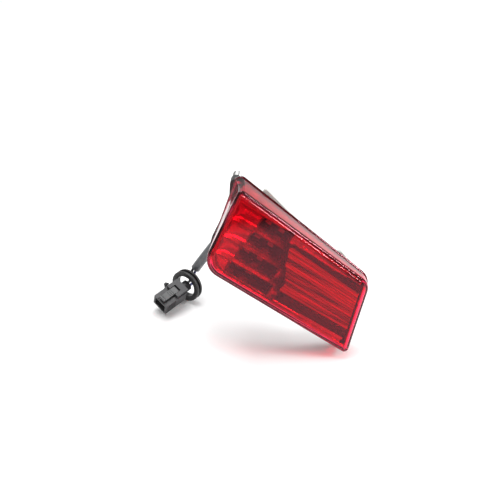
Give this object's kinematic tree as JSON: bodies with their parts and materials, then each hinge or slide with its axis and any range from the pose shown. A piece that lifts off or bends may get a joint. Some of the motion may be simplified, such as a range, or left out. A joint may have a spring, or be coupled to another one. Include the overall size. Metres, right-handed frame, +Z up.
{
  "type": "third brake light",
  "caption": "High-mounted stop lamp: leaning red wedge lens over an LED reflector, black rear housing with studs and foam gasket, short harness with a latched plug.",
  "frame": {"origin": "centre of the middle rest pad on the rear housing, on the plane of the panel that the lamp bolts to", "axes": "+Y out of the lamp's back, through the panel; the lens faces -Y; +X to the right as the lens is looked at; +Z up"},
  "size_m": [0.1111, 0.0741, 0.1091],
  "materials": {
    "lens_red": "gloss",
    "optic_red": "gloss",
    "bezel_black": "gloss",
    "reflector_metal": "mirror, vacuum metallised",
    "housing_black": "fine moulded grain",
    "board_green": "satin solder mask",
    "led_white": "gloss",
    "part_black": "satin",
    "terminal_brass": "tinned in part",
    "screw_steel": "bright zinc",
    "vent_grey": "satin",
    "foam_grey": "closed-cell foam",
    "stud_steel": "zinc plated",
    "gland_rubber": "satin",
    "sleeve_grey": "soft shine",
    "wire_black": "satin",
    "wire_blue": "satin",
    "grommet_rubber": "satin",
    "plug_black": "satin",
    "latch_black": "satin",
    "lock_grey": "satin",
    "seal_blue": "satin",
    "clip_black": "satin"
  },
  "bodies": {
    "lamp": {"lens": "lens_red", "inner_optic": "optic_red", "optic_bezel": "bezel_black", "reflector": "reflector_metal", "rear_housing": "housing_black", "led_board": "board_green", "leds": "led_white", "board_parts": "part_black", "board_terminals": "terminal_brass", "board_screws": "screw_steel", "vent_plug": "vent_grey", "foam_gasket": "foam_grey", "stud_upper": "stud_steel", "stud_lower": "stud_steel", "cable_gland": "gland_rubber", "harness_sleeve": "sleeve_grey", "wire_left": "wire_black", "wire_right": "wire_blue", "panel_grommet": "grommet_rubber", "plug_body": "plug_black", "plug_terminals": "terminal_brass", "wire_seal": "seal_blue", "harness_clip": "clip_black"},
    "latch": {"plug_latch": "latch_black"},
    "lock": {"terminal_lock": "lock_grey"}
  },
  "joints": [
    {"name": "latch_press", "type": "hinge", "parent": "lamp", "child": "latch", "pos_m": [-0.03475, 0.02651, -0.07071], "axis": [0.866, -0.5, 0], "range_deg": [0, 5], "stiffness_Nm_per_rad": 0.2},
    {"name": "lock_slide", "type": "slide", "parent": "lamp", "child": "lock", "axis": [-0.394, -0.6824, -0.6157], "range_m": [0, 0.0015]}
  ]
}
